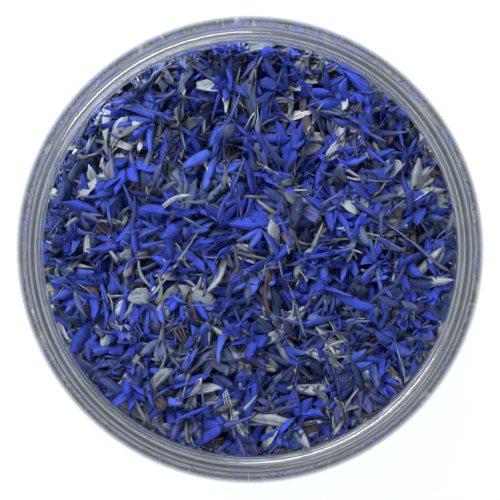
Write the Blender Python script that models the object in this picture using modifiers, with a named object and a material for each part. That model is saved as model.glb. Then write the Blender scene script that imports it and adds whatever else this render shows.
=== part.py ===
"""A round wide-mouthed glass jar, open at the top and filled with dried cornflower petals.

Units are metres, +Z is up, and the origin is under the middle of the jar's foot.
The jar is turned, with a screw thread raised on its neck. The petals are one tangled
heap: blades laid over a core on its top, round its side and under its base.
"""
import math
import random

import bmesh
import bpy
from mathutils import Vector

MM = 0.001

# Jar
HEIGHT = 65 * MM
BODY_RADIUS = 51.4 * MM
WALL = 2.4 * MM
FLOOR = 4.5 * MM
FLOOR_CORNER = 4 * MM
FOOT_RADIUS = 42 * MM
PUNT_RADIUS = 37 * MM
PUNT_DEPTH = 1.2 * MM
HEEL = 6 * MM
HEEL_TURN = 60
SHOULDER_TOP = 53 * MM
SHOULDER_ROUND = 6 * MM
THROAT_TURN = 50
THROAT_FOOT = 56 * MM
THROAT_BEND = (2 * MM, 3 * MM)
NECK_RADIUS = 47.3 * MM
MOUTH_RADIUS = 44.6 * MM
LIP_ROUND = 1.35 * MM
JAR_SEGMENTS = 64

# Screw thread on the neck
THREAD_HEIGHT = 1.1 * MM
THREAD_WIDTH = 2.6 * MM
THREAD_PITCH = 4.4 * MM
THREAD_START = SHOULDER_TOP + 2.2 * MM
THREAD_TURNS = 1.15
THREAD_FADE = 0.06
NECK_ROWS = 13

# Heap of petals
GAP = 0.3 * MM
HEAP_RADIUS = BODY_RADIUS - WALL - GAP
HEAP_BASE = FLOOR + GAP
COVER = 1.5 * MM
CORE_RADIUS = HEAP_RADIUS - COVER
CORE_BASE = HEAP_BASE + COVER / 2
CORE_SHOULDER = 47 * MM
THROAT_RADIUS = MOUTH_RADIUS - 2.4 * MM
CORE_EDGE = 55 * MM
CORE_CROWN = 59 * MM
CORE_SEGMENTS = 40
CORE_HEEL = (3.5 * MM, 4 * MM)
REACH = MOUTH_RADIUS - 0.6 * MM
REACH_SHOULDER = 47 * MM
REACH_THROAT = 53 * MM

# Petals: a dried ray floret, drawn somewhat larger and thicker than life
PETAL_LENGTH = (15 * MM, 20 * MM)
PETAL_WIDTH = (4.5 * MM, 6.5 * MM)
PETAL_THICKNESS = 0.8 * MM
ROOT_SUNK = 1.6 * MM
ARCH = math.radians(103)
TOP_RISE = (1.6 * MM, 3.4 * MM)
SIDE_RISE = (0.9 * MM, 1.3 * MM)
SIDE_TILT = math.radians(52)
TOP_SPACING = 8.2 * MM
SIDE_SPACING = 12 * MM
BASE_SPACING = 13 * MM
JITTER = 0.2
TOP_MARGIN = 1.5 * MM
BELT_MARGIN = (5 * MM, 1 * MM)
FORKED_SHARE = 0.3
PLAIN_TAPER = (0.34, 1.0, 0.42)
FORKED_TAPER = (0.3, 0.6, 1.1)
NOTCH = 0.28
SEED = 3


def new_material(name, colour, roughness, alpha=1.0, transmission=0.0):
    """A Principled finish of one colour."""
    material = bpy.data.materials.new(name)
    material.use_nodes = True
    shader = material.node_tree.nodes["Principled BSDF"]
    shader.inputs["Base Color"].default_value = (*colour, 1.0)
    shader.inputs["Roughness"].default_value = roughness
    shader.inputs["Metallic"].default_value = 0.0
    shader.inputs["Alpha"].default_value = alpha
    shader.inputs["Transmission Weight"].default_value = transmission
    return material


def new_collection(name):
    """An empty collection in the scene."""
    collection = bpy.data.collections.new(name)
    bpy.context.scene.collection.children.link(collection)
    return collection


def add_object(name, mesh, collection):
    """An object that shows a mesh."""
    thing = bpy.data.objects.new(name, mesh)
    collection.objects.link(thing)
    return thing


def arc(centre, radius, first, last, steps):
    """Points of a round corner in the r-z plane, with angles in degrees."""
    points = []
    for step in range(steps + 1):
        angle = math.radians(first + (last - first) * step / steps)
        points.append((centre[0] + radius * math.cos(angle), centre[1] + radius * math.sin(angle)))
    return points


def turned(name, profile, segments, collection):
    """A closed body turned about Z from a profile of (radius, height) points."""
    mesh = bpy.data.meshes.new(name)
    vertices = [(radius, 0.0, height) for radius, height in profile]
    edges = [(first, first + 1) for first in range(len(profile) - 1)]
    mesh.from_pydata(vertices, edges, [])
    body = add_object(name, mesh, collection)
    screw = body.modifiers.new("turn", "SCREW")
    screw.steps = segments
    screw.render_steps = segments
    screw.use_merge_vertices = True
    screw.merge_threshold = 0.00001
    return body


def applied(body):
    """Give a body the mesh that its modifiers make, and take the modifiers off."""
    evaluated = body.evaluated_get(bpy.context.evaluated_depsgraph_get())
    mesh = bpy.data.meshes.new_from_object(evaluated)
    body.modifiers.clear()
    body.data = mesh
    mesh.name = body.name
    return mesh


# Glass jar


def throat_curve(inner):
    """The inside of the shoulder: round like the outside, then a slow taper in to the mouth."""
    middle = (BODY_RADIUS - SHOULDER_ROUND, SHOULDER_TOP - SHOULDER_ROUND)
    curve = arc(middle, inner - middle[0], 0, THROAT_TURN, 3)
    leaving = math.radians(THROAT_TURN)
    first = Vector(curve[-1])
    second = first + Vector((-math.sin(leaving), math.cos(leaving))) * THROAT_BEND[0]
    last = Vector((MOUTH_RADIUS, THROAT_FOOT))
    third = last - Vector((0.0, THROAT_BEND[1]))
    for step in range(1, 5):
        share = step / 4
        rest = 1 - share
        spot = first * rest ** 3 + second * 3 * share * rest ** 2
        spot += third * 3 * share ** 2 * rest + last * share ** 3
        curve.append((spot.x, spot.y))
    return curve


def jar_profile():
    """The jar's wall: inner floor to lip, then down the outside to the middle of the foot."""
    inner = BODY_RADIUS - WALL
    profile = [(0.0, FLOOR)]
    profile += arc((inner - FLOOR_CORNER, FLOOR + FLOOR_CORNER), FLOOR_CORNER, -90, 0, 4)
    profile += throat_curve(inner)
    profile += arc((MOUTH_RADIUS + LIP_ROUND, HEIGHT - LIP_ROUND), LIP_ROUND, 180, 0, 6)
    neck_top = HEIGHT - 1.5 * LIP_ROUND
    shoulder = (BODY_RADIUS - SHOULDER_ROUND, SHOULDER_TOP - SHOULDER_ROUND)
    meeting = math.acos((NECK_RADIUS - shoulder[0]) / SHOULDER_ROUND)
    neck_foot = shoulder[1] + SHOULDER_ROUND * math.sin(meeting)
    for row in range(NECK_ROWS):
        profile.append((NECK_RADIUS, neck_top + (neck_foot - neck_top) * row / NECK_ROWS))
    profile += arc(shoulder, SHOULDER_ROUND, math.degrees(meeting), 0, 4)
    profile += arc((BODY_RADIUS - HEEL, HEEL), HEEL, 0, -HEEL_TURN, 3)
    profile.append((FOOT_RADIUS, 0.0))
    profile.append((PUNT_RADIUS, 0.0))
    profile.append((PUNT_RADIUS - PUNT_DEPTH, PUNT_DEPTH))
    profile.append((0.0, PUNT_DEPTH))
    return profile


def thread_rise(angle, height):
    """How far the screw thread stands out of the neck at one place."""
    rise = 0.0
    for lap in range(math.ceil(THREAD_TURNS) + 1):
        turn = angle / math.tau + lap
        if turn > THREAD_TURNS:
            continue
        offset = abs(height - THREAD_START - THREAD_PITCH * turn) / (THREAD_WIDTH / 2)
        ends = min(1.0, turn / THREAD_FADE, (THREAD_TURNS - turn) / THREAD_FADE)
        if offset < 1.0:
            rise = max(rise, THREAD_HEIGHT * ends * (1.0 - offset * offset))
    return rise


def make_jar(collection):
    """The jar, turned from its profile, with the screw thread raised on its neck."""
    jar = turned("glass_jar", jar_profile(), JAR_SEGMENTS, collection)
    mesh = applied(jar)
    for vertex in mesh.vertices:
        radius = math.hypot(vertex.co.x, vertex.co.y)
        if abs(radius - NECK_RADIUS) < 0.1 * MM and vertex.co.z > SHOULDER_TOP + 0.1 * MM:
            angle = math.atan2(vertex.co.y, vertex.co.x) % math.tau
            scale = 1.0 + thread_rise(angle, vertex.co.z) / radius
            vertex.co.x *= scale
            vertex.co.y *= scale
    mesh.shade_smooth()
    mesh.set_sharp_from_angle(angle=math.radians(40))
    mesh.materials.append(new_material("clear_glass", (0.9, 0.93, 0.94), 0.03, 0.35, 1.0))
    return jar


# Heap of dried petals


def core_profile():
    """The middle of the heap, which the petals stand out of."""
    profile = [(0.0, CORE_CROWN)]
    for step in range(1, 5):
        share = step / 4
        profile.append((THROAT_RADIUS * share, crown_height(THROAT_RADIUS * share)))
    profile.append((CORE_RADIUS, CORE_SHOULDER))
    profile.append((CORE_RADIUS, CORE_BASE + CORE_HEEL[1]))
    profile.append((CORE_RADIUS - CORE_HEEL[0], CORE_BASE))
    profile.append((0.0, CORE_BASE))
    return profile


def crown_height(radius):
    """Height of the core's domed top."""
    return CORE_CROWN - (CORE_CROWN - CORE_EDGE) * (radius / THROAT_RADIUS) ** 2


def kept_in(radius, height):
    """The radius that keeps a point of a petal clear of the glass at its height."""
    share = min(1.0, max(0.0, (height - REACH_SHOULDER) / (REACH_THROAT - REACH_SHOULDER)))
    widest = HEAP_RADIUS + (REACH - HEAP_RADIUS) * share
    below = min(FLOOR_CORNER, max(0.0, FLOOR + FLOOR_CORNER - height))
    widest -= FLOOR_CORNER - math.sqrt(FLOOR_CORNER ** 2 - below ** 2)
    return min(radius, widest)


def over_top(place, heading):
    """Lay a petal on the domed top: along and across it, and out of it."""
    def laid(point):
        along = place + Vector((math.cos(heading), math.sin(heading))) * point.x
        spot = along + Vector((-math.sin(heading), math.cos(heading))) * point.y
        height = crown_height(spot.length) + point.z
        spot = spot * (kept_in(spot.length, height) / spot.length)
        return Vector((spot.x, spot.y, height))
    return laid


def round_side(place, heading):
    """Press a petal to the side, wrapped round the heap."""
    def laid(point):
        across = point.x * math.cos(heading) - point.y * math.sin(heading)
        height = place.y + point.x * math.sin(heading) + point.y * math.cos(heading)
        height = max(height, HEAP_BASE)
        angle = (place.x + across) / CORE_RADIUS
        radius = kept_in(CORE_RADIUS + point.z, height)
        return Vector((radius * math.cos(angle), radius * math.sin(angle), height))
    return laid


def under_base(place, heading):
    """Lay a petal flat under the heap."""
    def laid(point):
        along = place + Vector((math.cos(heading), math.sin(heading))) * point.x
        spot = along + Vector((math.sin(heading), -math.cos(heading))) * point.y
        return Vector((spot.x, spot.y, max(CORE_BASE - point.z, HEAP_BASE)))
    return laid


def petal(laid, rise, rng, collection):
    """One dried floret: a narrow root sunk in the heap, widening to a cut or forked end."""
    length = rng.uniform(*PETAL_LENGTH)
    width = rng.uniform(*PETAL_WIDTH)
    forked = rng.random() < FORKED_SHARE
    shape = bmesh.new()
    bmesh.ops.create_cube(shape, size=1.0)
    lengthwise = [edge for edge in shape.edges if abs(edge.verts[0].co.x - edge.verts[1].co.x) > 0.5]
    bmesh.ops.subdivide_edges(shape, edges=lengthwise, cuts=1, use_grid_fill=True)
    taper = FORKED_TAPER if forked else PLAIN_TAPER
    for vertex in shape.verts:
        share = vertex.co.x + 0.5
        out = -ROOT_SUNK + (ROOT_SUNK + rise) * math.sin(share * ARCH)
        along = (share - 0.5) * length
        across = vertex.co.y * width * taper[round(share * 2)]
        vertex.co = Vector((along, across, out + (vertex.co.z - 0.5) * PETAL_THICKNESS))
    if forked:
        fork(shape, length)
    bmesh.ops.triangulate(shape, faces=shape.faces)
    for vertex in shape.verts:
        vertex.co = laid(vertex.co)
    mesh = bpy.data.meshes.new("petal")
    shape.to_mesh(mesh)
    shape.free()
    return add_object("petal", mesh, collection)


def fork(shape, length):
    """Cut the wide end into two teeth."""
    ends = [edge for edge in shape.edges
            if min(vertex.co.x for vertex in edge.verts) > length * 0.4
            and edge.verts[0].co.y * edge.verts[1].co.y < 0.0]
    made = bmesh.ops.subdivide_edges(shape, edges=ends, cuts=1, use_grid_fill=True)
    notch = {item for item in made["geom_inner"] if isinstance(item, bmesh.types.BMVert)}
    for vertex in notch:
        vertex.co.x -= length * NOTCH


def scattered(spacing, inside, extent, rng):
    """Evenly spread places: a grid of offset rows, each place moved a little."""
    places = []
    row = 0
    y = extent[2]
    while y <= extent[3]:
        x = extent[0] + (spacing / 2 if row % 2 else 0.0)
        while x < extent[1]:
            moved = (rng.uniform(-JITTER, JITTER) * spacing, rng.uniform(-JITTER, JITTER) * spacing)
            place = Vector((x + moved[0], y + moved[1]))
            if inside(place):
                places.append(place)
            x += spacing
        y += spacing * math.sqrt(3) / 2
        row += 1
    return places


def make_heap(collection):
    """The whole heap: petals over its top, round its side and under it, fused to its core."""
    rng = random.Random(SEED)
    loose = new_collection("loose_petals")
    heap = turned("dried_petals", core_profile(), CORE_SEGMENTS, collection)
    disc = (-HEAP_RADIUS, HEAP_RADIUS, -HEAP_RADIUS, HEAP_RADIUS)
    top_limit = REACH - TOP_MARGIN
    for place in scattered(TOP_SPACING, lambda spot: spot.length < top_limit, disc, rng):
        laid = over_top(place, rng.uniform(0, math.tau))
        petal(laid, rng.uniform(*TOP_RISE), rng, loose)
    girth = math.tau * CORE_RADIUS
    belt = (0.0, girth - SIDE_SPACING / 2, CORE_BASE + BELT_MARGIN[0], CORE_SHOULDER - BELT_MARGIN[1])
    for place in scattered(SIDE_SPACING, lambda spot: True, belt, rng):
        heading = rng.uniform(-SIDE_TILT, SIDE_TILT) + rng.choice((0, math.pi))
        petal(round_side(place, heading), rng.uniform(*SIDE_RISE), rng, loose)
    base_limit = CORE_RADIUS - max(PETAL_LENGTH) / 2
    for place in scattered(BASE_SPACING, lambda spot: spot.length < base_limit, disc, rng):
        laid = under_base(place, rng.uniform(0, math.tau))
        petal(laid, COVER / 2, rng, loose)
    fuse(heap, loose)
    heap.data.materials.append(new_material("dried_petal", (0.06, 0.08, 0.36), 0.85))
    return heap


def fuse(body, loose):
    """Join the loose petals to the body in one union, and clear them away."""
    union = body.modifiers.new("fuse", "BOOLEAN")
    union.operation = "UNION"
    union.operand_type = "COLLECTION"
    union.collection = loose
    union.solver = "MANIFOLD"
    mesh = applied(body)
    for thing in list(loose.objects):
        bpy.data.objects.remove(thing, do_unlink=True)
    bpy.data.collections.remove(loose)
    keep_outer_skin(mesh)


def keep_outer_skin(mesh):
    """Fill the hollows that crossing petals close, and drop any loose scrap."""
    skin = bmesh.new()
    skin.from_mesh(mesh)
    unseen = set(skin.verts)
    islands = []
    while unseen:
        island = set()
        front = [unseen.pop()]
        while front:
            vertex = front.pop()
            island.add(vertex)
            for edge in vertex.link_edges:
                other = edge.other_vert(vertex)
                if other in unseen:
                    unseen.remove(other)
                    front.append(other)
        islands.append(island)
    largest = max(islands, key=len)
    for island in islands:
        if island is not largest:
            bmesh.ops.delete(skin, geom=list(island), context="VERTS")
    skin.to_mesh(mesh)
    skin.free()


def clear_scene():
    """Start from nothing."""
    for thing in list(bpy.data.objects):
        bpy.data.objects.remove(thing, do_unlink=True)


clear_scene()
parts = new_collection("jar_of_cornflower_petals")
make_jar(parts)
make_heap(parts)
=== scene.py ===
"""A clear glass jar filled with dried cornflower petals, dressed for its portrait from above.

Everything is in metres, +Z up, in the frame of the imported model. The jar stands on the
floor at Z = 0 with its axis on the Z axis, and its mouth is open.
"""
import math
import random

import bmesh
import bpy
import numpy as np
from mathutils import Matrix, Vector, noise


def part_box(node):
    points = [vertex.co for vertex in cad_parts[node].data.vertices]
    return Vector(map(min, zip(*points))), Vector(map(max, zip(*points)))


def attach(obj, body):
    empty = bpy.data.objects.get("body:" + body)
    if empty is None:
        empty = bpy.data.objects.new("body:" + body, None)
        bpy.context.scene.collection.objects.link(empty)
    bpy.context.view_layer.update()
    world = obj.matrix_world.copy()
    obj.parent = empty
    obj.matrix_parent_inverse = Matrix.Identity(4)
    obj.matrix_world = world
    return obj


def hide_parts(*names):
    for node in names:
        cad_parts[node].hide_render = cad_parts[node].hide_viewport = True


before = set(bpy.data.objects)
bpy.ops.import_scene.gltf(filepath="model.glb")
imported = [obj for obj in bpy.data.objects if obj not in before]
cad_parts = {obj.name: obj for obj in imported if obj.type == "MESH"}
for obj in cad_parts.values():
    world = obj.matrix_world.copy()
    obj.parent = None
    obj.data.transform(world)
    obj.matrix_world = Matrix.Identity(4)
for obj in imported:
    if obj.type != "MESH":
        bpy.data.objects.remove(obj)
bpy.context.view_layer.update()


# ---------------------------------------------------------------------------
# The jar
# One piece of clear pressed glass: a round body with a rounded heel, a soft
# shoulder, and a neck with a screw thread and a fire-polished lip. No lid.
# ---------------------------------------------------------------------------

MM = 0.001
jar_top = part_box("glass_jar")[1]
JAR_HEIGHT = jar_top.z
JAR_RADIUS = jar_top.x
WALL = 2.4 * MM
FLOOR_THICKNESS = 4.5 * MM
FLOOR_CORNER = 4 * MM
FOOT_RADIUS = 42 * MM
PUNT_RADIUS = 37 * MM
PUNT_DEPTH = 1.2 * MM
HEEL = 6 * MM
SHOULDER_TOP = 53 * MM
SHOULDER_ROUND = 6 * MM
THROAT_FOOT = 56 * MM
THROAT_TURN = 50
TAPER_STEPS = 12
NECK_RADIUS = 47.3 * MM
MOUTH_RADIUS = 44.6 * MM
LIP_ROUND = 1.35 * MM
THREAD_HEIGHT = 1.1 * MM
THREAD_WIDTH = 2.6 * MM
THREAD_PITCH = 4.4 * MM
THREAD_START = SHOULDER_TOP + 2.2 * MM
THREAD_TURNS = 1.15
THREAD_FADE = 0.06
NECK_ROWS = 36
JAR_STEPS = 224


def round_corner(centre, radius, first, last, steps):
    """Points of a round corner in the plane of radius and height, angles in degrees."""
    points = []
    for step in range(steps + 1):
        angle = math.radians(first + (last - first) * step / steps)
        points.append((centre[0] + radius * math.cos(angle), centre[1] + radius * math.sin(angle)))
    return points


def jar_lining():
    """The inside of the jar, from the middle of the floor to the mouth."""
    inner = JAR_RADIUS - WALL
    lining = [(0.0, FLOOR_THICKNESS)]
    corner = (inner - FLOOR_CORNER, FLOOR_THICKNESS + FLOOR_CORNER)
    lining += round_corner(corner, FLOOR_CORNER, -90, 0, 8)
    lining += throat_curve(inner)
    return lining


def jar_outline():
    """The jar's wall from the middle of its inner floor, over the lip, to the middle of its foot."""
    outline = jar_lining()
    outline += round_corner((MOUTH_RADIUS + LIP_ROUND, JAR_HEIGHT - LIP_ROUND), LIP_ROUND, 180, 0, 14)
    neck_top = JAR_HEIGHT - 1.5 * LIP_ROUND
    shoulder = (JAR_RADIUS - SHOULDER_ROUND, SHOULDER_TOP - SHOULDER_ROUND)
    meeting = math.acos((NECK_RADIUS - shoulder[0]) / SHOULDER_ROUND)
    neck_foot = shoulder[1] + SHOULDER_ROUND * math.sin(meeting)
    for row in range(NECK_ROWS):
        outline.append((NECK_RADIUS, neck_top + (neck_foot - neck_top) * row / NECK_ROWS))
    outline += round_corner(shoulder, SHOULDER_ROUND, math.degrees(meeting), 0, 12)
    outline += round_corner((JAR_RADIUS - HEEL, HEEL), HEEL, 0, -60, 8)
    outline.append((FOOT_RADIUS, 0.0))
    outline.append((PUNT_RADIUS, 0.0))
    outline.append((PUNT_RADIUS - PUNT_DEPTH, PUNT_DEPTH))
    outline.append((0.0, PUNT_DEPTH))
    return outline


def throat_curve(inner):
    """The inside of the shoulder: round like the outside, then a slow taper in to the mouth."""
    middle = (JAR_RADIUS - SHOULDER_ROUND, SHOULDER_TOP - SHOULDER_ROUND)
    points = round_corner(middle, inner - middle[0], 0, THROAT_TURN, 10)
    leaving = math.radians(THROAT_TURN)
    first = Vector(points[-1])
    second = first + Vector((-math.sin(leaving), math.cos(leaving))) * 2 * MM
    last = Vector((MOUTH_RADIUS, THROAT_FOOT))
    third = last - Vector((0.0, 3 * MM))
    for step in range(1, TAPER_STEPS + 1):
        t = step / TAPER_STEPS
        spot = first * (1 - t) ** 3 + second * 3 * t * (1 - t) ** 2
        spot = spot + third * 3 * t * t * (1 - t) + last * t ** 3
        points.append((spot.x, spot.y))
    return points


def thread_rise(angle, height):
    """How far the screw thread stands out of the neck at one place."""
    rise = 0.0
    for lap in range(math.ceil(THREAD_TURNS) + 1):
        turn = angle / math.tau + lap
        if turn > THREAD_TURNS:
            continue
        offset = abs(height - THREAD_START - THREAD_PITCH * turn) / (THREAD_WIDTH / 2)
        ends = min(1.0, turn / THREAD_FADE, (THREAD_TURNS - turn) / THREAD_FADE)
        if offset < 1.0:
            rise = max(rise, THREAD_HEIGHT * ends * (1.0 - offset * offset) ** 1.5)
    return rise


def spin_round(shape, points, steps):
    """Turn a line of points round the Z axis, and close it at its poles."""
    lines = [shape.edges.new(pair) for pair in zip(points, points[1:])]
    bmesh.ops.spin(shape, geom=points + lines, axis=(0, 0, 1), cent=(0, 0, 0), dvec=(0, 0, 0),
                   angle=math.tau, steps=steps, use_merge=True, use_duplicate=False)
    bmesh.ops.remove_doubles(shape, verts=shape.verts, dist=0.01 * MM)


def build_jar():
    """Spin the outline, and raise the thread on the neck.

    The attribute backed marks the lining that petals touch, from the floor to the foot of the throat.
    """
    jar = bmesh.new()
    backed = jar.verts.layers.float.new("backed")
    points = [jar.verts.new((radius, 0.0, height)) for radius, height in jar_outline()]
    for point in points[:len(jar_lining()) - TAPER_STEPS]:
        point[backed] = 1.0
    spin_round(jar, points, JAR_STEPS)
    for vertex in jar.verts:
        radius = vertex.co.xy.length
        if abs(radius - NECK_RADIUS) < 0.1 * MM and vertex.co.z > SHOULDER_TOP + 0.1 * MM:
            angle = math.atan2(vertex.co.y, vertex.co.x) % math.tau
            scale = 1.0 + thread_rise(angle, vertex.co.z) / radius
            vertex.co.x *= scale
            vertex.co.y *= scale
    bmesh.ops.recalc_face_normals(jar, faces=jar.faces)
    return jar


def new_material(name):
    """A material, with its node tree and its shader."""
    material = bpy.data.materials.new(name)
    material.use_nodes = True
    return material, material.node_tree, material.node_tree.nodes["Principled BSDF"]


def feed(socket, value):
    """Give a node's input either another node's output or a plain value."""
    if isinstance(value, bpy.types.NodeSocket):
        socket.id_data.links.new(value, socket)
    else:
        socket.default_value = value


def worked_out(tree, operation, *values):
    """The result of one sum on outputs or numbers."""
    node = tree.nodes.new("ShaderNodeMath")
    node.operation = operation
    for socket, value in zip(node.inputs, values):
        feed(socket, value)
    return node.outputs[0]


def fitted(tree, value, low, high, to_low=0.0, to_high=1.0):
    """A value stretched from one range to another, and held inside it."""
    node = tree.nodes.new("ShaderNodeMapRange")
    feed(node.inputs["Value"], value)
    node.inputs["From Min"].default_value = low
    node.inputs["From Max"].default_value = high
    node.inputs["To Min"].default_value = to_low
    node.inputs["To Max"].default_value = to_high
    return node.outputs[0]


def blended(tree, share, first, second):
    """One colour turning into another."""
    node = tree.nodes.new("ShaderNodeMix")
    node.data_type = "RGBA"
    feed(node.inputs[0], share)
    feed(node.inputs[6], first)
    feed(node.inputs[7], second)
    return node.outputs[2]


def grain(tree, place, scale, detail):
    """Noise read at a place."""
    node = tree.nodes.new("ShaderNodeTexNoise")
    node.inputs["Scale"].default_value = scale
    node.inputs["Detail"].default_value = detail
    feed(node.inputs["Vector"], place)
    return node.outputs["Fac"]


def relief(tree, height, strength, distance):
    """The normal of a surface that is raised by a height."""
    node = tree.nodes.new("ShaderNodeBump")
    node.inputs["Strength"].default_value = strength
    node.inputs["Distance"].default_value = distance
    feed(node.inputs["Height"], height)
    return node.outputs["Normal"]


GLASS_TINT = (0.84, 0.88, 0.9, 1.0)
# The darker tint of the lip's crown is painted shade, dimming the light that runs down the wall
CROWN_PAINTED_SHADE = (0.5, 0.53, 0.55, 1.0)
SEEN_THROUGH = (0.94, 0.955, 0.955, 1.0)
LIT_THROUGH = (0.88, 0.895, 0.895, 1.0)
BODY_ROUGHNESS = 0.08
NECK_ROUGHNESS = 0.25
TOUCHING_SHARE = 0.55


def clear_glass():
    """Soda-lime glass, faintly grey green, with the slow waves that a mould leaves.

    The neck is a little rougher than the body, and the crown of the lip is tinted darker: painted shade
    that dims the light running down the wall. Light passes the glass with a faint shadow only, so that
    what lies in the jar is lit as in thin glass. Where petals touch the lining, part of what is seen comes
    straight through, and so does the light behind the shoulder where it is seen edge-on.
    """
    material, tree, glass = new_material("clear_glass")
    glass.inputs["IOR"].default_value = 1.5
    glass.inputs["Transmission Weight"].default_value = 1.0
    glass.inputs["Coat Weight"].default_value = 0.7
    glass.inputs["Coat Roughness"].default_value = 0.04
    place = tree.nodes.new("ShaderNodeTexCoord").outputs["Object"]
    waves = grain(tree, place, 60.0, 1.0)
    feed(glass.inputs["Normal"], relief(tree, waves, 0.25, 0.4 * MM))

    spot = tree.nodes.new("ShaderNodeSeparateXYZ")
    feed(spot.inputs[0], place)
    height = spot.outputs["Z"]
    neck = (SHOULDER_TOP - 2 * MM, SHOULDER_TOP + 1 * MM)
    feed(glass.inputs["Roughness"], fitted(tree, height, *neck, BODY_ROUGHNESS, NECK_ROUGHNESS))
    # Painted shade: the lip's crown is tinted darker to dim the light that runs down the wall to it
    crown = fitted(tree, height, JAR_HEIGHT - 0.45 * MM, JAR_HEIGHT - 0.05 * MM)
    feed(glass.inputs["Base Color"], blended(tree, crown, GLASS_TINT, CROWN_PAINTED_SHADE))

    level = tree.nodes.new("ShaderNodeVectorMath")
    level.operation = "MULTIPLY"
    level.inputs[1].default_value = (1.0, 1.0, 0.0)
    feed(level.inputs[0], place)
    radius = tree.nodes.new("ShaderNodeVectorMath")
    radius.operation = "LENGTH"
    feed(radius.inputs[0], level.outputs[0])
    edge = tree.nodes.new("ShaderNodeLayerWeight")
    edge.inputs["Blend"].default_value = 0.5
    thin = fitted(tree, edge.outputs["Facing"], 0.3, 0.95)
    thin.node.interpolation_type = "SMOOTHSTEP"
    upper = fitted(tree, height, SHOULDER_TOP - SHOULDER_ROUND - 3 * MM, SHOULDER_TOP - SHOULDER_ROUND)
    thread_edge = NECK_RADIUS + THREAD_HEIGHT
    outer = fitted(tree, radius.outputs["Value"], thread_edge, thread_edge + 0.8 * MM)
    shoulder = worked_out(tree, "MULTIPLY", upper, outer)
    rounded = worked_out(tree, "MULTIPLY", thin, shoulder)
    backed = tree.nodes.new("ShaderNodeAttribute")
    backed.attribute_name = "backed"
    touching = worked_out(tree, "MULTIPLY_ADD", backed.outputs["Fac"], TOUCHING_SHARE, rounded)

    path = tree.nodes.new("ShaderNodeLightPath")
    entered = worked_out(tree, "GREATER_THAN", path.outputs["Transparent Depth"], 0.5)
    passing = worked_out(tree, "MAXIMUM", entered, touching)
    unshaded = worked_out(tree, "MAXIMUM", passing, path.outputs["Is Shadow Ray"])
    through = tree.nodes.new("ShaderNodeBsdfTransparent")
    passed = blended(tree, path.outputs["Is Shadow Ray"], SEEN_THROUGH, LIT_THROUGH)
    feed(through.inputs["Color"], passed)
    either = tree.nodes.new("ShaderNodeMixShader")
    feed(either.inputs[0], unshaded)
    feed(either.inputs[1], glass.outputs["BSDF"])
    feed(either.inputs[2], through.outputs["BSDF"])
    feed(tree.nodes["Material Output"].inputs["Surface"], either.outputs["Shader"])
    return material


def new_piece(name, shape, material):
    """A smooth-shaded object from a bmesh, which it uses up."""
    mesh = bpy.data.meshes.new(name)
    shape.to_mesh(mesh)
    shape.free()
    mesh.shade_smooth()
    mesh.materials.append(material)
    piece = bpy.data.objects.new(name, mesh)
    bpy.context.scene.collection.objects.link(piece)
    return piece


jar = new_piece("jar_of_clear_glass", build_jar(), clear_glass())
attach(jar, "root")
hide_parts("glass_jar")


# ---------------------------------------------------------------------------
# The shapes of the dried pieces
# Each kind of floret, lobe, bract and thread is cut from a small sheet, curled
# as it dried, and given a back, so that it is a thin closed body.
# ---------------------------------------------------------------------------

SHEET = 0.09 * MM
STRAIGHT = 0.01
FURTHER_ALONG = Vector((7.3, 1.9, 4.1))
shapes_rng = random.Random(11)


def chance(low, high):
    """A number drawn between two bounds."""
    return shapes_rng.uniform(low, high)


def blank(rows, columns):
    """A unit sheet with its base at Y = 0, its tip at Y = 1, and a UV map along and across it."""
    sheet = bmesh.new()
    sheet.loops.layers.uv.new("UVMap")
    bmesh.ops.create_grid(sheet, x_segments=columns, y_segments=rows, size=0.5, calc_uvs=True)
    bmesh.ops.translate(sheet, verts=sheet.verts, vec=(0, 0.5, 0))
    return sheet


def outline_sheet(sheet, length, half_width, droop=0.0):
    """Set the sheet's outline: half_width gives half the width at each share of the length."""
    for vertex in sheet.verts:
        share = vertex.co.y
        side = vertex.co.x * 2
        vertex.co.x = side * half_width(share)
        vertex.co.y = length * (share - droop * side * side * share)


def cup(sheet, depth):
    """Raise both long edges, as a leaf that folds along its middle."""
    widest = max(abs(vertex.co.x) for vertex in sheet.verts)
    for vertex in sheet.verts:
        vertex.co.z += depth * abs(vertex.co.x / widest) ** 1.4


def crumple(sheet, amount, size):
    """Wrinkle the sheet out of its plane."""
    start = Vector((chance(0, 90), chance(0, 90), 0.0))
    for vertex in sheet.verts:
        spot = vertex.co / size + start
        vertex.co.z += amount * noise.noise(spot)
        vertex.co.x += 0.6 * amount * noise.noise(spot + FURTHER_ALONG)


def bend(sheet, angle):
    """Curl the sheet along its length through an angle."""
    length = max(vertex.co.y for vertex in sheet.verts)
    if abs(angle) < STRAIGHT:
        return
    radius = length / angle
    for vertex in sheet.verts:
        turn = vertex.co.y / radius
        lift = vertex.co.z
        vertex.co.y = (radius - lift) * math.sin(turn)
        vertex.co.z = radius - (radius - lift) * math.cos(turn)


def swerve(sheet, angle):
    """Curve the sheet sideways in its own plane."""
    length = max(vertex.co.y for vertex in sheet.verts)
    if abs(angle) < STRAIGHT:
        return
    radius = length / angle
    for vertex in sheet.verts:
        turn = vertex.co.y / radius
        side = vertex.co.x
        vertex.co.y = (radius - side) * math.sin(turn)
        vertex.co.x = radius - (radius - side) * math.cos(turn)


def twist(sheet, angle):
    """Turn the sheet about its length, more towards the tip."""
    length = max(vertex.co.y for vertex in sheet.verts)
    for vertex in sheet.verts:
        turn = angle * vertex.co.y / length
        side = vertex.co.x
        lift = vertex.co.z
        vertex.co.x = side * math.cos(turn) - lift * math.sin(turn)
        vertex.co.z = side * math.sin(turn) + lift * math.cos(turn)


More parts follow.
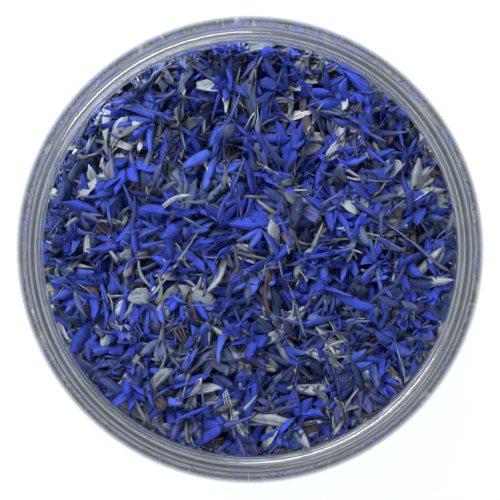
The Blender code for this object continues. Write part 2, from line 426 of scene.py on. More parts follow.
def give_back(sheet, thickness=SHEET):
    """Close the sheet with a second face a hair below the first, joined all round the edge."""
    sheet.verts.index_update()
    sheet.normal_update()
    rim = {vertex.index for vertex in sheet.verts if vertex.is_boundary}
    normals = {vertex.index: vertex.normal.copy() for vertex in sheet.verts}
    front = list(sheet.verts)
    made = bmesh.ops.duplicate(sheet, geom=sheet.verts[:] + sheet.edges[:] + sheet.faces[:])
    backs = made["vert_map"]
    for vertex in front:
        if vertex.index not in rim:
            backs[vertex].co = vertex.co - normals[vertex.index] * thickness
    back_faces = [item for item in made["geom"] if isinstance(item, bmesh.types.BMFace)]
    bmesh.ops.reverse_faces(sheet, faces=back_faces)
    bmesh.ops.remove_doubles(sheet, verts=sheet.verts, dist=thickness * 0.05)


def dried(sheet, most_twist, most_swerve, least_curl, most_curl):
    """Twist, swerve and curl a sheet by chance, as it dries, and give it its back."""
    twist(sheet, chance(-most_twist, most_twist))
    swerve(sheet, chance(-most_swerve, most_swerve))
    bend(sheet, chance(least_curl, most_curl))
    give_back(sheet)
    return sheet


def finished(sheet, name):
    """The master mesh of one shape, centred on its length, with room for each copy's own shade."""
    length = max(vertex.co.y for vertex in sheet.verts)
    bmesh.ops.translate(sheet, verts=sheet.verts, vec=(0, -length / 2, 0))
    for face in sheet.faces:
        face.smooth = True
    mesh = bpy.data.meshes.new(name)
    sheet.to_mesh(mesh)
    sheet.free()
    mesh.attributes.new("shade", "FLOAT", "POINT")
    return mesh


def fray(sheet, amount):
    """Tear and shrink the outline unevenly."""
    for vertex in sheet.verts:
        if vertex.is_boundary:
            vertex.co.x += chance(-amount, amount)
            vertex.co.y += chance(-amount, amount) * 1.5


def crease(sheet, depth, folds):
    """Fold the sheet along its length, as a petal shrinks between its veins."""
    widest = max(abs(vertex.co.x) for vertex in sheet.verts)
    start = chance(0, math.tau)
    for vertex in sheet.verts:
        across = vertex.co.x / widest
        vertex.co.z += depth * math.sin(across * math.pi * folds + start)


def lobe(length, width, blunt, tail=0.0):
    """A torn-off lobe of a ray floret: a strap that narrows to both ends, or to a thin tail."""
    sheet = blank(7, 4)
    start = chance(0.08, 0.3)

    def half_width(s):
        blade_share = max(0.0, (s - tail) / (1 - tail))
        swell = math.sin(math.pi * min(1.0, start + (0.93 - start) * blade_share ** 1.1)) ** 0.9
        widening = min(1.0, blade_share * 4 + (0.0 if tail else 1.0))
        end = 1.0 if s < 0.99 else blunt
        return width / 2 * (0.16 + 0.84 * swell * widening) * end

    outline_sheet(sheet, length, half_width, droop=0.06)
    fray(sheet, 0.05 * width)
    cup(sheet, width * chance(-0.3, 0.35))
    crease(sheet, chance(0.12, 0.32) * MM, chance(1.0, 2.0))
    crumple(sheet, 0.35 * MM, 2.2 * MM)
    return dried(sheet, 1.1, 1.2, -0.6, 1.4)


def fan_out(sheet, heading):
    """Turn one lobe away from the line of its floret."""
    turn = Matrix.Rotation(heading, 3, "Z")
    bmesh.ops.rotate(sheet, verts=sheet.verts, cent=(0, 0, 0), matrix=turn)


def gather(whole, sheet):
    """Add one sheet to a piece that is made of several, and use it up."""
    leaf = bpy.data.meshes.new("leaf")
    sheet.to_mesh(leaf)
    sheet.free()
    whole.from_mesh(leaf)
    bpy.data.meshes.remove(leaf)


def tuft(count, length, width):
    """A few lobes of one floret, still joined at their base."""
    whole = bmesh.new()
    spread = chance(0.5, 1.3)
    for number in range(count):
        sheet = lobe(length * chance(0.7, 1.0), width, 0.4, chance(0.15, 0.35))
        fan_out(sheet, spread * (number / (count - 1) - 0.5) + chance(-0.1, 0.1))
        gather(whole, sheet)
    return whole


def stretch_of(sheet, low, high):
    """Let the sheet's UV map run over one stretch of the whole piece's length."""
    layer = sheet.loops.layers.uv.active
    for face in sheet.faces:
        for loop in face.loops:
            loop[layer].uv.y = low + (high - low) * loop[layer].uv.y


def floret(length, width, count):
    """A whole ray floret: a long slim tube that opens into pointed lobes, curled as one."""
    whole = bmesh.new()
    throat = length * chance(0.26, 0.44)
    faded = chance(0.15, 0.4)
    tube = blank(5, 2)
    outline_sheet(tube, throat * 1.15, lambda s: (0.26 + 0.85 * s ** 2.2) * MM)
    cup(tube, 0.4 * MM)
    stretch_of(tube, 0.0, faded)
    gather(whole, tube)
    spread = chance(0.8, 1.7)
    for number in range(count):
        reach = (length - throat) * chance(0.6, 1.0)
        blunt = chance(0.3, 0.8)
        sheet = blank(5, 2)

        def half_width(s):
            end = 1.0 if s < 0.99 else blunt
            return width / 2 * (0.3 + 0.7 * math.sin(math.pi * (0.12 + 0.78 * s))) * end

        outline_sheet(sheet, reach, half_width, droop=0.05)
        fray(sheet, 0.05 * width)
        cup(sheet, width * chance(-0.2, 0.35))
        crumple(sheet, 0.35 * MM, 2 * MM)
        bend(sheet, chance(-0.3, 0.6))
        stretch_of(sheet, faded, 1.0)
        fan_out(sheet, spread * (number / (count - 1) - 0.5) + chance(-0.12, 0.12))
        lifted = chance(-0.2, 0.2) * MM
        bmesh.ops.translate(sheet, verts=sheet.verts, vec=(0, throat, lifted))
        gather(whole, sheet)
    return dried(whole, 0.8, 1.3, -0.5, 0.9)


def curl(length, width):
    """A slim strap that rolled up as it dried, such as a floret's bare tube."""
    sheet = blank(8, 2)

    def half_width(s):
        return width / 2 * (0.3 + 0.7 * math.sin(math.pi * (0.1 + 0.8 * s)))

    outline_sheet(sheet, length, half_width)
    cup(sheet, 0.4 * width)
    crumple(sheet, 0.25 * MM, 3 * MM)
    return dried(sheet, 1.4, 2.4, -0.6, 1.2)


def trumpet(length, width, teeth):
    """A whole ray floret, pressed flat: a slim tube that flares to a mouth cut into teeth."""
    columns = teeth * 2
    sheet = blank(5, columns)
    tube = 0.07 * width
    cut = chance(0.2, 0.42)
    top_row = [vertex for vertex in sheet.verts if vertex.co.y > 0.99]
    second_row = [vertex for vertex in sheet.verts if 0.75 < vertex.co.y < 0.85]
    for vertex in top_row:
        notch = round((vertex.co.x + 0.5) * columns) % 2 == 0
        vertex.co.y -= cut if notch and abs(vertex.co.x) < 0.49 else 0.0
        vertex.co.y -= 0.12 * abs(vertex.co.x * 2) ** 2 + chance(0, 0.06)
    for vertex in second_row:
        notch = round((vertex.co.x + 0.5) * columns) % 2 == 0
        vertex.co.y -= cut * 0.8 if notch and abs(vertex.co.x) < 0.49 else 0.06

    def half_width(s):
        return tube + (width / 2 - tube) * max(0.0, (s - 0.22) / 0.78) ** 1.25

    outline_sheet(sheet, length, half_width)
    folds = chance(0.25, 0.6) * MM
    for vertex in sheet.verts:
        vertex.co.z += folds * math.sin(vertex.co.x / (width / 2) * math.pi * 1.7) * vertex.co.y / length
    cup(sheet, width * chance(0.05, 0.4))
    crumple(sheet, 0.4 * MM, 3 * MM)
    return dried(sheet, 0.7, 0.5, -0.4, 1.0)


def blade(length, width):
    """A wrinkled papery bract or faded lobe: a strap, widest at its own place, with torn ends."""
    sheet = blank(6, 5)
    base = chance(0.08, 0.7)
    lean = chance(0.6, 1.3)

    def half_width(s):
        return width / 2 * (base + (1 - base) * math.sin(math.pi * s ** lean) ** 0.8)

    outline_sheet(sheet, length, half_width)
    fray(sheet, 0.09 * width)
    cup(sheet, width * chance(0.02, 0.3))
    crease(sheet, chance(0.15, 0.35) * MM, chance(1.6, 2.6))
    crumple(sheet, 0.45 * MM, 2 * MM)
    return dried(sheet, 0.9, 0.9, -0.4, 1.0)


def fan(length, width):
    """A broad faded floret, pleated along its length and torn across its end."""
    sheet = blank(5, 8)
    outline_sheet(sheet, length, lambda s: width / 2 * (0.22 + 0.78 * s ** 0.8), droop=0.15)
    fray(sheet, 0.06 * width)
    crease(sheet, chance(0.25, 0.45) * MM, chance(2.6, 3.6))
    crumple(sheet, 0.5 * MM, 2.5 * MM)
    return dried(sheet, 0.6, 0.5, -0.3, 0.8)


def forked(length, width, arms):
    """A slim floret that splits into narrow arms."""
    columns = arms * 2 + (arms - 1)
    sheet = blank(5, columns)
    gaps = []
    for face in sheet.faces:
        middle = face.calc_center_median()
        if middle.y > 0.42 and int((middle.x + 0.5) * columns) % 3 == 2:
            gaps.append(face)
    bmesh.ops.delete(sheet, geom=gaps, context="FACES")
    spread = chance(1.0, 1.8)

    def half_width(s):
        return width / 2 * (0.32 + 0.68 * max(0.0, (s - 0.3) / 0.7) * spread)

    for vertex in sheet.verts:
        if vertex.co.y > 0.99:
            arm = min(arms - 1, int((vertex.co.x + 0.5) * columns / 3 + 0.001))
            middle = (arm * 3 + 1) / columns - 0.5
            vertex.co.x = middle + (vertex.co.x - middle) * 0.25
            vertex.co.y -= chance(0, 0.05)
    outline_sheet(sheet, length, half_width)
    fray(sheet, 0.04 * width)
    crumple(sheet, 0.5 * MM, 2.5 * MM)
    return dried(sheet, 0.8, 0.7, -0.3, 0.9)


def thread_piece(length, thick):
    """A curly thread: the thin tube of a floret, or a bristle, as a three-sided wire."""
    wire = bmesh.new()
    wire.loops.layers.uv.new("UVMap")
    bmesh.ops.create_cone(wire, cap_ends=True, cap_tris=True, segments=3, radius1=0.5, radius2=0.22,
                          depth=1.0, calc_uvs=True)
    bmesh.ops.translate(wire, verts=wire.verts, vec=(0, 0, 0.5))
    lengthwise = [edge for edge in wire.edges if abs(edge.verts[0].co.z - edge.verts[1].co.z) > 0.9]
    bmesh.ops.subdivide_edges(wire, edges=lengthwise, cuts=5, use_grid_fill=True)
    for vertex in wire.verts:
        vertex.co = Vector((vertex.co.x * thick, vertex.co.z * length, vertex.co.y * thick))
    bmesh.ops.reverse_faces(wire, faces=wire.faces)
    bend(wire, chance(-1.8, 2.2))
    swerve(wire, chance(-1.6, 1.6))
    crumple(wire, 0.5 * MM, 2.5 * MM)
    return wire


def scrap(length, width):
    """A crumpled crumb of a petal or bract."""
    sheet = blank(3, 3)
    for vertex in sheet.verts:
        vertex.co.x += chance(-0.1, 0.1)
        vertex.co.y += chance(-0.1, 0.1)

    def half_width(s):
        return width / 2 * (0.5 + 0.5 * math.sin(math.pi * min(1.0, max(0.0, s))))

    outline_sheet(sheet, length, half_width)
    crumple(sheet, 0.8 * MM, 1.4 * MM)
    bend(sheet, chance(0.2, 1.6))
    give_back(sheet)
    return sheet


def several(name, count, make):
    """A few variants of one kind of piece."""
    return [finished(make(), f"{name}_{number}") for number in range(count)]


def between(low, high):
    """A length drawn between two bounds that are given in millimetres."""
    return chance(low, high) * MM


def one_of(*counts):
    """A number of teeth, arms or lobes, drawn from a few."""
    return shapes_rng.choice(counts)


big_trumpets = several("big_trumpet", 6, lambda: trumpet(between(12.5, 17), between(5, 7.5), 3))
small_trumpets = several("small_trumpet", 6, lambda: trumpet(between(9, 13.5), between(3.4, 5.6), 2))
lobes = several("lobe", 10, lambda: lobe(between(8, 14), between(2, 3.5), chance(0.3, 0.9)))
tailed_lobes = several("tailed_lobe", 8,
                       lambda: lobe(between(10, 16), between(2, 3.4), chance(0.3, 0.9), chance(0.25, 0.5)))
tufts = several("tuft", 7, lambda: tuft(one_of(3, 4, 4), between(11, 15), between(1.8, 2.8)))
slim_lobes = several("slim_lobe", 8, lambda: lobe(between(7, 12.5), between(1, 1.9), 0.4))
blades = several("blade", 8, lambda: blade(between(8, 14), between(2, 3.9)))
fans = several("fan", 5, lambda: fan(between(8, 12), between(3.6, 5.8)))
forks = several("fork", 6, lambda: forked(between(8, 13), between(2.2, 3.8), one_of(2, 2, 3)))
threads = several("thread", 8, lambda: thread_piece(between(5, 10), between(0.3, 0.5)))
scraps = several("scrap", 7, lambda: scrap(between(2, 4.4), between(1.6, 3.2)))
florets = several("floret", 12, lambda: floret(between(14.5, 19), between(1.9, 3), one_of(3, 4, 5)))
curls = several("curl", 8, lambda: curl(between(7, 13), between(0.6, 1.2)))


# ---------------------------------------------------------------------------
# The colours of the dried pieces
# Blue ray florets keep their dye, others fade to violet, silver or straw. Each
# has fine veins along it, a paler base, and its own shade.
# ---------------------------------------------------------------------------


PIECES_APART = 91.0


def fibre_group():
    """Veins, blotches and the change from base to tip, for anything cut from a petal."""
    group = bpy.data.node_groups.new("dried fibre", "ShaderNodeTree")
    for name in ("Base", "Light", "Dark"):
        group.interface.new_socket(name, in_out="INPUT", socket_type="NodeSocketColor")
    for name in ("Base Reach", "Veins"):
        group.interface.new_socket(name, in_out="INPUT", socket_type="NodeSocketFloat")
    group.interface.new_socket("Color", in_out="OUTPUT", socket_type="NodeSocketColor")
    group.interface.new_socket("Height", in_out="OUTPUT", socket_type="NodeSocketFloat")
    nodes = group.nodes
    given = nodes.new("NodeGroupInput").outputs
    result = nodes.new("NodeGroupOutput").inputs
    place = nodes.new("ShaderNodeTexCoord").outputs["Object"]
    uv = nodes.new("ShaderNodeUVMap")
    uv.uv_map = "UVMap"
    along = nodes.new("ShaderNodeSeparateXYZ")
    feed(along.inputs[0], uv.outputs["UV"])
    shade = nodes.new("ShaderNodeAttribute")
    shade.attribute_name = "shade"
    own = shade.outputs["Fac"]

    lane = nodes.new("ShaderNodeCombineXYZ")
    feed(lane.inputs["X"], along.outputs["X"])
    feed(lane.inputs["Y"], along.outputs["Y"])
    feed(lane.inputs["Z"], worked_out(group, "MULTIPLY", own, PIECES_APART))
    drawn = nodes.new("ShaderNodeMapping")
    drawn.inputs["Scale"].default_value = (6.0, 0.8, 1.0)
    feed(drawn.inputs["Vector"], lane.outputs[0])
    veins = grain(group, drawn.outputs[0], 1.0, 3.0)
    blotches = grain(group, place, 420.0, 2.0)

    ribs = fitted(group, veins, 0.36, 0.64)
    ribbed = worked_out(group, "MULTIPLY_ADD", ribs, given["Veins"], own)
    patches = fitted(group, blotches, 0.38, 0.62, 0.0, 0.4)
    level = fitted(group, worked_out(group, "ADD", ribbed, patches), 0.2, 1.7)
    tone = blended(group, level, given["Dark"], given["Light"])
    reach = worked_out(group, "DIVIDE", along.outputs["Y"], given["Base Reach"])
    reach.node.use_clamp = True
    feed(result["Color"], blended(group, reach, given["Base"], tone))
    feed(result["Height"], veins)
    return group


dried_fibre = fibre_group()


def petal_finish(name, base, light, dark, reach, veins):
    """One colour of dried petal."""
    material, tree, cloth = new_material(name)
    fibre = tree.nodes.new("ShaderNodeGroup")
    fibre.node_tree = dried_fibre
    fibre.inputs["Base"].default_value = (*base, 1.0)
    fibre.inputs["Light"].default_value = (*light, 1.0)
    fibre.inputs["Dark"].default_value = (*dark, 1.0)
    fibre.inputs["Base Reach"].default_value = reach
    fibre.inputs["Veins"].default_value = veins
    feed(cloth.inputs["Base Color"], fibre.outputs["Color"])
    feed(cloth.inputs["Normal"], relief(tree, fibre.outputs["Height"], 0.6, 0.3 * MM))
    cloth.inputs["Roughness"].default_value = 0.8
    cloth.inputs["Specular IOR Level"].default_value = 0.12
    cloth.inputs["Sheen Weight"].default_value = 0.03
    cloth.inputs["Sheen Roughness"].default_value = 0.5
    return material


# Each colour of petal: its material's name, its colour at the base, its pale and its dark tone, how
# much of its length the base takes, and how strong its veins are
TONES = {
    "blue": ("petal_blue", (0.05, 0.065, 0.21), (0.033, 0.062, 0.48), (0.01, 0.023, 0.155), 0.25, 0.55),
    "azure": ("petal_azure", (0.09, 0.11, 0.25), (0.05, 0.094, 0.48), (0.014, 0.032, 0.165), 0.25, 0.55),
    "indigo": ("petal_indigo", (0.045, 0.055, 0.1), (0.038, 0.057, 0.21), (0.012, 0.024, 0.06), 0.3, 0.6),
    "faded": ("petal_faded_blue", (0.12, 0.14, 0.18), (0.085, 0.117, 0.25), (0.023, 0.034, 0.075), 0.4, 0.8),
    "violet": ("petal_violet", (0.07, 0.078, 0.12), (0.062, 0.074, 0.23), (0.014, 0.018, 0.055), 0.5, 0.8),
    "slate": ("petal_slate", (0.11, 0.12, 0.135), (0.115, 0.145, 0.185), (0.014, 0.022, 0.032), 0.5, 0.8),
    "silver": ("petal_silver", (0.19, 0.195, 0.215), (0.295, 0.34, 0.39), (0.045, 0.056, 0.08), 0.35, 0.9),
    "purple": ("petal_purple_brown", (0.06, 0.05, 0.045), (0.1, 0.08, 0.105), (0.012, 0.01, 0.014), 0.4, 0.8),
    "russet": ("petal_russet", (0.07, 0.045, 0.035), (0.17, 0.095, 0.095), (0.025, 0.013, 0.013), 0.4, 0.8),
    "straw": ("petal_straw", (0.25, 0.265, 0.23), (0.33, 0.36, 0.34), (0.08, 0.092, 0.08), 0.6, 0.6),
    "white": ("petal_papery_white", (0.36, 0.37, 0.36), (0.47, 0.5, 0.53), (0.12, 0.13, 0.15), 0.3, 0.8),
}
FINISHES = {colour: petal_finish(*tones) for colour, tones in TONES.items()}

# What is in the jar: the share of the pieces, the colour, and the shapes of each sort
MIXTURE = (
    (0.1, "blue", florets),
    (0.07, "blue", big_trumpets),
    (0.06, "blue", small_trumpets),
    (0.04, "blue", lobes),
    (0.03, "blue", tailed_lobes),
    (0.02, "blue", tufts),
    (0.03, "azure", florets),
    (0.02, "azure", big_trumpets),
    (0.03, "azure", small_trumpets),
    (0.02, "azure", lobes),
    (0.02, "azure", tailed_lobes),
    (0.02, "indigo", florets),
    (0.03, "indigo", big_trumpets),
    (0.05, "indigo", small_trumpets),
    (0.02, "indigo", tailed_lobes),
    (0.06, "faded", small_trumpets),
    (0.04, "faded", slim_lobes),
    (0.02, "faded", fans),
    (0.03, "violet", small_trumpets),
    (0.04, "violet", tailed_lobes),
    (0.02, "violet", slim_lobes),
    (0.01, "azure", fans),
    (0.01, "violet", fans),
    (0.02, "slate", blades),
    (0.02, "slate", fans),
    (0.06, "slate", slim_lobes),
    (0.05, "slate", scraps),
    (0.035, "silver", blades),
    (0.012, "silver", fans),
    (0.035, "silver", forks),
    (0.03, "silver", slim_lobes),
    (0.01, "silver", tufts),
    (0.015, "purple", blades),
    (0.01, "purple", fans),
    (0.02, "purple", forks),
    (0.02, "purple", scraps),
    (0.02, "russet", scraps),
    (0.01, "russet", slim_lobes),
    (0.02, "straw", threads),
    (0.02, "straw", curls),
    (0.02, "silver", curls),
    (0.02, "straw", scraps),
    (0.01, "white", scraps),
    (0.01, "white", blades),
)

# What lies uppermost: whole florets, broad faded pieces, and loose curls and threads
UPPERMOST = (
    (0.21, "blue", florets),
    (0.12, "azure", florets),
    (0.06, "indigo", florets),
    (0.12, "faded", florets),
    (0.05, "violet", florets),
    (0.06, "silver", florets),
    (0.13, "silver", blades),
    (0.05, "silver", fans),
    (0.1, "silver", curls),
    (0.04, "straw", curls),
    (0.03, "faded", curls),
    (0.03, "purple", blades),
    (0.02, "white", blades),
    (0.05, "silver", threads),
    (0.04, "straw", threads),
)
BLUES = ("blue", "azure")


# ---------------------------------------------------------------------------
# The heap on top
# The petals that were poured last lie every way over each other, resting on
# what fell before them, and the highest stand a few millimetres under the lip.
# ---------------------------------------------------------------------------

FILL_EDGE = JAR_HEIGHT - 11.4 * MM
FILL_CROWN = JAR_HEIGHT - 8.6 * MM
LEAN = 3 * MM
LUMP_HEIGHT = 2.2 * MM
LUMP_WIDTH = 13 * MM
DRIFT = 7 * MM
SHADE_DRIFT = 11 * MM
SHADE_LAYER = 30.0
SHADE_CHANCE = 0.36
CELL = 0.6 * MM
FIRST_DEPTH = 3 * MM
MOST_RISE = 0.5 * MM
TOP_PIECES = 1900
LAST_LAYER = 560
WHOLE_SHARE = 0.8
BEND_STATIONS = 6
MOST_LIFT = 1.2 * MM
ROLL = 0.7
TILT = 0.36
SPOT_TRIES = 6
REACH = MOUTH_RADIUS - 0.25 * MM
TOP_CLEAR = 1.5 * MM
heap_rng = random.Random(5)


# One working copy of each shape, and the corners of its faces
copies = {}
corners = {}


class Bin:
    """The merged meshes of one part of the heap, one for each colour."""

    def __init__(self, place):
        self.place = place
        self.shapes = {}

    def add(self, colour, master, points, shade):
        """Add a copy of a shape with its points moved, carrying its own shade."""
        if master.name not in copies:
            copies[master.name] = master.copy()
        mesh = copies[master.name]
        mesh.vertices.foreach_set("co", points.astype(np.float32).ravel())
        mesh.attributes["shade"].data.foreach_set("value", np.full(len(points), shade, np.float32))
        if colour not in self.shapes:
            self.shapes[colour] = bmesh.new()
        self.shapes[colour].from_mesh(mesh)

    def finish(self):
        """Make the pieces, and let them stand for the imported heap."""
        for colour in sorted(self.shapes):
            piece = new_piece(f"{colour}_petals_{self.place}", self.shapes[colour], FINISHES[colour])
            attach(piece, "root")
            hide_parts("dried_petals")


def pick(rng, mixture):
    """One sort of piece from a mixture, and one of its shapes."""
    draw = rng.random() * sum(share for share, colour, shapes in mixture)
    for share, colour, shapes in mixture:
        draw -= share
        if draw <= 0:
            break
    return colour, rng.choice(shapes)


def points_of(mesh):
    """A mesh's vertices as an array."""
    points = np.zeros(len(mesh.vertices) * 3, np.float32)
    mesh.vertices.foreach_get("co", points)
    return points.reshape(-1, 3).astype(float)


def patches_of(mesh):
    """The first four corners of each face, for finding points all over a piece."""
    return np.array([[face.vertices[min(corner, len(face.vertices) - 1)] for corner in range(4)]
                     for face in mesh.polygons])


def all_over(master, shape):
    """Points all over a piece: its own, the middles of its faces, and some between those."""
    if master.name not in corners:
        corners[master.name] = patches_of(master)
    middles = shape[corners[master.name]].mean(axis=1)
    return np.concatenate([shape, middles, (middles[1:] + middles[:-1]) / 2])


def tumbled(shape, rng):
    """Turn a piece as it falls: on either face, a little tilted, and heading anywhere."""
    roll = rng.gauss(0, ROLL) + (math.pi if rng.random() < 0.5 else 0.0)
    tilt = rng.gauss(0, TILT)
    heading = rng.uniform(0, math.tau)
    turn = Matrix.Rotation(heading, 3, "Z") @ Matrix.Rotation(tilt, 3, "X")
    return shape @ np.array(turn @ Matrix.Rotation(roll, 3, "Y")).T


def spot_within(radius, rng):
    """A spot drawn evenly inside a circle round the axis."""
    distance = radius * math.sqrt(rng.random())
    bearing = rng.uniform(0, math.tau)
    return distance * math.cos(bearing), distance * math.sin(bearing)


def slide_in(shape, reach, tries=3, extra=0.02 * MM):
    """Slide a piece towards the axis until its points lie inside a radius."""
    for attempt in range(tries):
        radii = np.hypot(shape[:, 0], shape[:, 1])
        worst = int(radii.argmax())
        over = radii[worst] - reach
        if over <= 0:
            break
        shape[:, :2] -= shape[worst, :2] / radii[worst] * (over + extra)


def draped(shape, lengthwise, under):
    """How far a piece bends up along its length, where it would sink into what lies below."""
    sunk = np.maximum(0.0, under - shape[:, 2])
    stations = np.linspace(0.0, 1.0, BEND_STATIONS)
    near = np.abs(lengthwise[:, None] - stations[None, :]) < 0.75 / (BEND_STATIONS - 1)
    lift = [sunk[close].mean() if close.any() else 0.0 for close in near.T]
    return np.interp(lengthwise, stations, np.minimum(np.array(lift) * 1.4, MOST_LIFT))


def suits(colour, x, y, rng):
    """Whether a piece may lie at a spot: the blues and the faded ones gather in drifts."""
    drift = noise.noise(Vector((x, y, 0.0)) / DRIFT)
    side = 1.0 if colour in BLUES else -1.0
    return side * drift > rng.uniform(-0.7, 0.3)


def own_shade(x, y, rng):
    """How pale a piece is, from 0 to 1: mostly chance, and partly like the pieces round it."""
    patch = noise.noise(Vector((x, y, SHADE_LAYER)) / SHADE_DRIFT)
    return min(1.0, max(0.0, 0.5 + 0.7 * patch + rng.uniform(-SHADE_CHANCE, SHADE_CHANCE)))


def landing_spot(colour, rng):
    """A spot in the mouth that suits a colour, or the last of a few tries."""
    for attempt in range(SPOT_TRIES):
        x, y = spot_within(REACH, rng)
        if suits(colour, x, y, rng):
            break
    return x, y


def fill_level(x, y):
    """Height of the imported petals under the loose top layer."""
    radius = math.hypot(x, y) / MOUTH_RADIUS
    lumps = LUMP_HEIGHT * noise.noise(Vector((x, y, 0.0)) / LUMP_WIDTH)
    return FILL_CROWN - (FILL_CROWN - FILL_EDGE) * radius ** 2 - LEAN * y / MOUTH_RADIUS + lumps


class Surface:
    """A height map of what lies in the mouth so far."""

    def __init__(self):
        cells = int(2 * MOUTH_RADIUS / CELL) + 3
        self.centre = cells // 2
        self.level = np.zeros((cells, cells))
        for i in range(cells):
            for j in range(cells):
                height = fill_level((i - self.centre) * CELL, (j - self.centre) * CELL)
                self.level[i, j] = height - FIRST_DEPTH

    def cells_under(self, points):
        """The rows and columns of the cells below some points."""
        found = np.rint(points[:, :2] / CELL).astype(int) + self.centre
        return tuple(found.clip(0, len(self.level) - 1).T)

    def under(self, points):
        """The level below some points."""
        return self.level[self.cells_under(points)]

    def cover(self, points):
        """Raise the map to some points, each of them by a little at most."""
        raised = np.minimum(points[:, 2], self.under(points) + MOST_RISE)
        np.maximum.at(self.level, self.cells_under(points), raised)


def heap_top():
    """Drop the pieces one by one on what already lies there."""
    surface = Surface()
    top = Bin("on_top")
    for number in range(TOP_PIECES):
        late = number >= TOP_PIECES - LAST_LAYER and heap_rng.random() < WHOLE_SHARE
        colour, master = pick(heap_rng, UPPERMOST if late else MIXTURE)
        shape = points_of(master) * heap_rng.uniform(0.85, 1.15)
        lengthwise = (shape[:, 1] - shape[:, 1].min()) / np.ptp(shape[:, 1])
        shape = tumbled(shape, heap_rng)
        x, y = landing_spot(colour, heap_rng)
        shape[:, :2] += (x, y)
        slide_in(shape, REACH)
        under = surface.under(shape)
        shape[:, 2] += np.sort(under - shape[:, 2])[-max(1, len(shape) // 4):].mean()
        shape[:, 2] += draped(shape, lengthwise, under)
        shape[:, 2] -= max(0.0, shape[:, 2].max() - JAR_HEIGHT + TOP_CLEAR)
        surface.cover(all_over(master, shape))
        top.add(colour, master, shape, own_shade(x, y, heap_rng))
    top.finish()


heap_top()


# ---------------------------------------------------------------------------
# The petals against the glass
# Below the surface the petals are pressed to the wall, the shoulder and the
# floor, and show through the glass all round.
# ---------------------------------------------------------------------------

LINING_RADIUS = JAR_RADIUS - WALL
WALL_PIECES = 2600
WALL_FOOT = FLOOR_THICKNESS + 0.3 * MM
WALL_TOP = FILL_EDGE + 3.1 * MM
WALL_CEILING = WALL_TOP + 3 * MM
WALL_TILT = 0.12
PRESSED_DEPTH = 2.6 * MM
GLASS_GAP = 0.12 * MM
FLOOR_PIECES = 600
FLOOR_SPREAD = LINING_RADIUS - 8 * MM
FLOOR_REACH = LINING_RADIUS - 3 * MM
BED_HEIGHT = FLOOR_THICKNESS + 0.15 * MM
BED_DEPTH = 2 * MM
wall_rng = random.Random(8)
throat_radii, throat_heights = zip(*throat_curve(LINING_RADIUS))


def inside_radius(height):
    """The radius of the lining at one height, less a hair."""
    radius = float(np.interp(height, throat_heights, throat_radii))
    below = min(FLOOR_CORNER, max(0.0, FLOOR_THICKNESS + FLOOR_CORNER - height))
    radius -= FLOOR_CORNER - math.sqrt(FLOOR_CORNER ** 2 - below ** 2)
    return radius - GLASS_GAP


def press_to_wall():
    """Wrap pieces round the inside of the jar, each at its own depth."""
    band = Bin("by_the_wall")
    for number in range(WALL_PIECES):
        colour, master = pick(wall_rng, MIXTURE)
        shape = points_of(master) * wall_rng.uniform(0.8, 1.1)
        heading = wall_rng.uniform(0, math.tau)
        turn = Matrix.Rotation(heading, 3, "Z") @ Matrix.Rotation(wall_rng.gauss(0, WALL_TILT), 3, "X")
        shape = shape @ np.array(turn).T
        angle = wall_rng.uniform(0, math.tau)
        height = wall_rng.uniform(WALL_FOOT, WALL_TOP)
        depth = wall_rng.uniform(0.1, 1.0) ** 1.5 * PRESSED_DEPTH
        outermost = shape[:, 2].max()
        heights = shape[:, 1] + height
        heights -= max(0.0, heights.max() - WALL_CEILING)
        heights += max(0.0, WALL_FOOT - heights.min())
        angles = angle + shape[:, 0] / LINING_RADIUS
        radii = np.array([inside_radius(z) for z in heights]) - depth - (outermost - shape[:, 2])
        placed = np.stack([radii * np.cos(angles), radii * np.sin(angles), heights], axis=1)
        band.add(colour, master, placed, wall_rng.random())
    band.finish()


def spread_on_floor():
    """Lay pieces flat on the jar's inner floor."""
    bed = Bin("on_the_floor")
    for number in range(FLOOR_PIECES):
        colour, master = pick(wall_rng, MIXTURE)
        shape = points_of(master) * wall_rng.uniform(0.8, 1.1)
        turn = Matrix.Rotation(wall_rng.uniform(0, math.tau), 3, "Z") @ Matrix.Rotation(math.pi, 3, "Y")
        shape = shape @ np.array(turn).T
        shape[:, 2] *= 0.5
        shape[:, :2] += spot_within(FLOOR_SPREAD, wall_rng)
        slide_in(shape, FLOOR_REACH, tries=1, extra=0.0)
        shape[:, 2] += BED_HEIGHT - shape[:, 2].min() + wall_rng.random() * BED_DEPTH
        bed.add(colour, master, shape, wall_rng.random())
    bed.finish()


press_to_wall()
spread_on_floor()


# ---------------------------------------------------------------------------
# The middle of the heap
# Petals packed out of sight, as one body that closes the gaps between
# the pieces that show; its dark colour is painted shade for those deep gaps.
# ---------------------------------------------------------------------------

CORE_RADIUS = LINING_RADIUS - 3.2 * MM
CORE_THROAT = MOUTH_RADIUS - 0.8 * MM
CORE_SHOULDER = 45 * MM
CORE_FLOOR = FLOOR_THICKNESS + 2.4 * MM
CORE_BEVEL = 3 * MM
CORE_DEPTH = 3.5 * MM
CORE_RINGS = 12
CORE_STEPS = 72


def build_core():
    """A turned body with a lumpy top that follows the fill."""
    core = bmesh.new()
    outline = [(0.0, FILL_CROWN)]
    outline += [(CORE_THROAT * ring / CORE_RINGS, FILL_CROWN) for ring in range(1, CORE_RINGS + 1)]
    outline.append((CORE_RADIUS, CORE_SHOULDER))
    outline.append((CORE_RADIUS, CORE_FLOOR + CORE_BEVEL))
    outline.append((CORE_RADIUS - CORE_BEVEL, CORE_FLOOR))
    outline.append((0.0, CORE_FLOOR))
    points = [core.verts.new((radius, 0.0, height)) for radius, height in outline]
    spin_round(core, points, CORE_STEPS)
    for vertex in core.verts:
        if vertex.co.z > CORE_SHOULDER + 1 * MM:
            vertex.co.z = fill_level(vertex.co.x, vertex.co.y) - CORE_DEPTH
    bmesh.ops.recalc_face_normals(core, faces=core.faces)
    return core


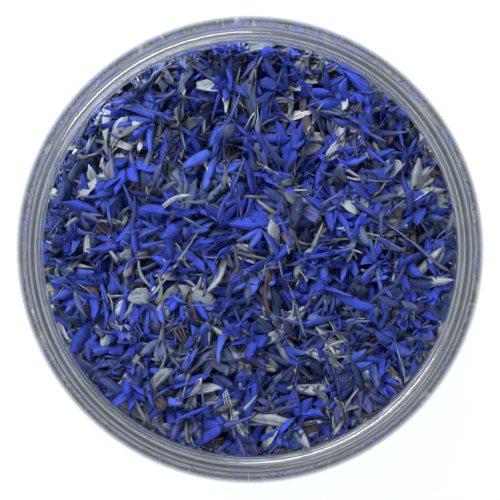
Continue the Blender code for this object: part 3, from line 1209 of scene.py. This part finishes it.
def packed_petals():
    """The tangle between the petals, coloured dark as painted shade for the deep gaps."""
    material, tree, body = new_material("packed_petals")
    body.inputs["Roughness"].default_value = 0.95
    body.inputs["Specular IOR Level"].default_value = 0.1
    place = tree.nodes.new("ShaderNodeTexCoord").outputs["Object"]
    tangle = grain(tree, place, 500.0, 3.0)
    # Painted shade: both dark colours of the tangle stand for the shade in the deep gaps between the pieces
    colours = tree.nodes.new("ShaderNodeValToRGB")
    colours.color_ramp.elements[0].position = 0.35
    colours.color_ramp.elements[0].color = (0.03, 0.046, 0.055, 1.0)
    colours.color_ramp.elements[1].position = 0.7
    colours.color_ramp.elements[1].color = (0.08, 0.115, 0.17, 1.0)
    feed(colours.inputs["Fac"], tangle)
    feed(body.inputs["Base Color"], colours.outputs["Color"])
    feed(body.inputs["Normal"], relief(tree, tangle, 1.0, 0.8 * MM))
    return material


core = new_piece("packed_middle", build_core(), packed_petals())
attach(core, "root")
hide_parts("dried_petals")


# ---------------------------------------------------------------------------
# The table, the light and the camera
# A white table under soft studio light, seen from straight above the jar.
# ---------------------------------------------------------------------------


TABLE_RADIUS = 1.6
TABLE_GAP = 0.05 * MM
LIT_GLOW = 0.3
SEEN_GLOW = 0.86


def white_table():
    """A plain white sheet that the jar stands on, brighter to the camera than to the jar."""
    sheet = bmesh.new()
    bmesh.ops.create_circle(sheet, cap_ends=True, segments=96, radius=TABLE_RADIUS)
    bmesh.ops.translate(sheet, verts=sheet.verts, vec=(0, 0, -TABLE_GAP))
    material, tree, paint = new_material("white_table")
    paint.inputs["Base Color"].default_value = (0.15, 0.16, 0.175, 1.0)
    paint.inputs["Roughness"].default_value = 0.9
    paint.inputs["Emission Color"].default_value = (0.97, 0.99, 1.0, 1.0)
    path = tree.nodes.new("ShaderNodeLightPath")
    glow = fitted(tree, path.outputs["Is Camera Ray"], 0.0, 1.0, LIT_GLOW, SEEN_GLOW)
    feed(paint.inputs["Emission Strength"], glow)
    table = new_piece("table", sheet, material)


def soft_light(name, place, size, power, colour=(1.0, 1.0, 1.0)):
    """A square soft light that faces the jar's mouth."""
    lamp = bpy.data.lights.new(name, "AREA")
    lamp.shape = "RECTANGLE"
    lamp.size = size[0]
    lamp.size_y = size[1]
    lamp.energy = power
    lamp.color = colour
    holder = bpy.data.objects.new(name, lamp)
    holder.location = place
    aim = Vector((0, 0, JAR_HEIGHT)) - Vector(place)
    holder.rotation_euler = aim.to_track_quat("-Z", "Y").to_euler()
    bpy.context.scene.collection.objects.link(holder)


def surroundings(level):
    """Even grey light from all round."""
    world = bpy.data.worlds.new("studio")
    world.use_nodes = True
    world.node_tree.nodes["Background"].inputs["Color"].default_value = (0.93, 0.97, 1.0, 1.0)
    world.node_tree.nodes["Background"].inputs["Strength"].default_value = level
    bpy.context.scene.world = world


CAMERA_HEIGHT = 0.6
VIEW_WIDTH = 0.1065
TIP = math.radians(-0.4)

white_table()
soft_light("window", (-0.55, 1.0, 1.15), (1.3, 0.7), 48.0)
soft_light("fill", (0.6, -0.9, 1.2), (1.0, 1.0), 15.0, (1.0, 0.98, 0.95))
surroundings(0.6)

lens = bpy.data.cameras.new("camera")
lens.sensor_width = 36.0
lens.lens = lens.sensor_width * CAMERA_HEIGHT / VIEW_WIDTH
camera = bpy.data.objects.new("camera", lens)
camera.location = (0.0, -math.sin(TIP) * CAMERA_HEIGHT, JAR_HEIGHT + math.cos(TIP) * CAMERA_HEIGHT)
camera.rotation_euler = (TIP, 0.0, 0.0)
bpy.context.scene.collection.objects.link(camera)
bpy.context.scene.camera = camera
bpy.context.scene.view_settings.view_transform = "Standard"
